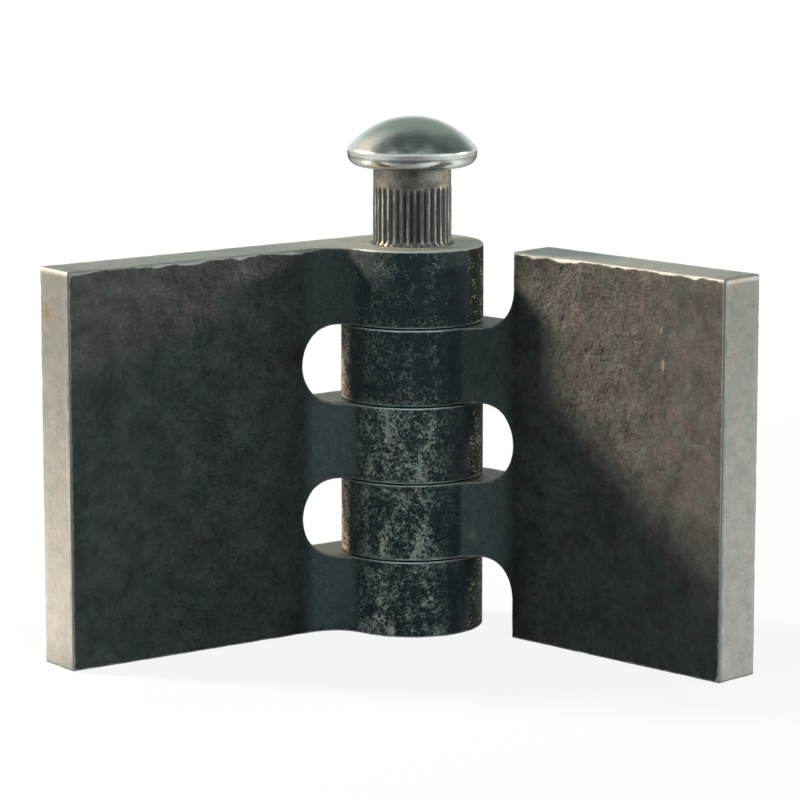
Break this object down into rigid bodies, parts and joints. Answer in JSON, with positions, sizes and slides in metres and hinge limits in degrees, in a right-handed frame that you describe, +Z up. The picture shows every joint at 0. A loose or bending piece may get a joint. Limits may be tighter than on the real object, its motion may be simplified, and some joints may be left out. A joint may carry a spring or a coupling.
{
  "type": "loose pin weld-on hinge",
  "caption": "Heavy weld-on steel hinge: two thick plate leaves with interleaved knuckles on a domed-head knurled pin that draws out upward so that the leaves come apart.",
  "frame": {"origin": "on the pin's axis, at the sawn lower end of the barrel", "axes": "+Z up along the pin towards its head, +Y out of the frame leaf's flat back, -X from the pin along the frame leaf"},
  "size_m": [0.0812, 0.0695, 0.0795],
  "materials": {
    "scaled_steel": "drawn profile with dark mill scale, sawn ends left bare",
    "turned_steel": "bright turned steel with a straight knurl"
  },
  "bodies": {
    "frame_side": {"frame_leaf": "scaled_steel"},
    "door_side": {"door_leaf": "scaled_steel"},
    "pin": {"hinge_pin": "turned_steel"}
  },
  "joints": [
    {"name": "leaf_swing", "type": "hinge", "parent": "frame_side", "child": "door_side", "pos_m": [0, 0, 0.03], "axis": [0, 0, 1], "range_deg": [-100, 170]},
    {"name": "pin_slide", "type": "slide", "parent": "frame_side", "child": "pin", "axis": [0, 0, 1], "range_m": [-0.0119, 0.05]}
  ]
}
